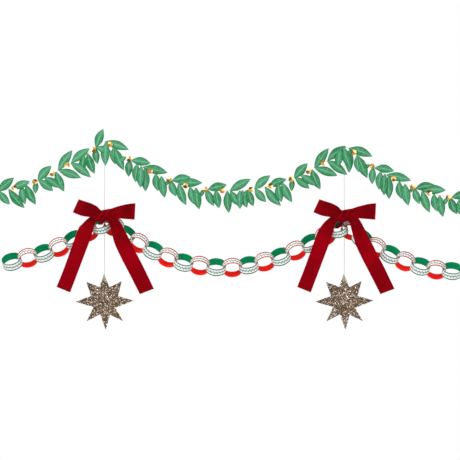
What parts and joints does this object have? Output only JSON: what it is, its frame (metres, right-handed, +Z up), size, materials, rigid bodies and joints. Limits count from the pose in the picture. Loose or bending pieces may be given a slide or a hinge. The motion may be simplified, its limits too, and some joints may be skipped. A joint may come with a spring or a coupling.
{
  "type": "paper chain garland",
  "caption": "Hanging garland: a chain of rolled paper links with velvet bows, under a strand of cut-paper leaves with glitter stars on threads.",
  "frame": {"origin": "where the leaf cord bends over its left hook, at the left peak of the leaf strand", "axes": "+X to the viewer's right along the garland, +Y away from the viewer to the wall, +Z up"},
  "size_m": [1.2474, 0.0732, 0.5208],
  "materials": {
    "green_border_paper": "matte white card printed with two green border lines, green inside",
    "red_border_paper": "matte white card printed with two red border lines, red inside",
    "dark_red_velvet": "dark red velvet ribbon",
    "champagne_glitter": "coarse champagne glitter glued on card",
    "pale_thread": "thin pale thread",
    "pale_cord": "thin pale cord",
    "green_leaf_paper": "green cut paper, with gold foil discs"
  },
  "bodies": {
    "root": {"paper_link_01_green": "green_border_paper", "paper_link_02_red": "red_border_paper", "paper_link_03_green": "green_border_paper", "paper_link_04_red": "red_border_paper", "paper_link_05_green": "green_border_paper", "paper_link_06_red": "red_border_paper", "paper_link_07_green": "green_border_paper", "paper_link_08_red": "red_border_paper", "paper_link_09_green": "green_border_paper", "paper_link_10_red": "red_border_paper", "paper_link_11_green": "green_border_paper", "paper_link_12_red": "red_border_paper", "paper_link_13_green": "green_border_paper", "paper_link_14_red": "red_border_paper", "paper_link_15_green": "green_border_paper", "paper_link_16_red": "red_border_paper", "paper_link_17_green": "green_border_paper", "paper_link_18_red": "red_border_paper", "paper_link_19_green": "green_border_paper", "paper_link_20_red": "red_border_paper", "paper_link_21_green": "green_border_paper", "paper_link_22_red": "red_border_paper", "paper_link_23_green": "green_border_paper", "paper_link_24_red": "red_border_paper", "paper_link_25_green": "green_border_paper", "paper_link_26_red": "red_border_paper", "paper_link_27_green": "green_border_paper", "paper_link_28_red": "red_border_paper", "paper_link_29_green": "green_border_paper", "paper_link_30_red": "red_border_paper", "paper_link_31_green": "green_border_paper", "ribbon_bow_left": "dark_red_velvet", "ribbon_bow_right": "dark_red_velvet", "glitter_star_left": "champagne_glitter", "glitter_star_right": "champagne_glitter", "star_thread_left": "pale_thread", "star_thread_right": "pale_thread", "leaf_cord": "pale_cord", "leaf_sprig_01": "green_leaf_paper", "leaf_sprig_02": "green_leaf_paper", "leaf_sprig_03": "green_leaf_paper", "leaf_sprig_04": "green_leaf_paper", "leaf_sprig_05": "green_leaf_paper", "leaf_sprig_06": "green_leaf_paper", "leaf_sprig_07": "green_leaf_paper", "leaf_sprig_08": "green_leaf_paper", "leaf_sprig_09": "green_leaf_paper", "leaf_sprig_10": "green_leaf_paper", "leaf_sprig_11": "green_leaf_paper", "leaf_sprig_12": "green_leaf_paper", "leaf_sprig_13": "green_leaf_paper", "leaf_sprig_14": "green_leaf_paper", "leaf_sprig_15": "green_leaf_paper", "leaf_sprig_16": "green_leaf_paper", "leaf_sprig_17": "green_leaf_paper", "leaf_sprig_18": "green_leaf_paper", "leaf_sprig_19": "green_leaf_paper", "leaf_sprig_20": "green_leaf_paper", "leaf_sprig_21": "green_leaf_paper", "leaf_sprig_22": "green_leaf_paper"}
  },
  "joints": []
}
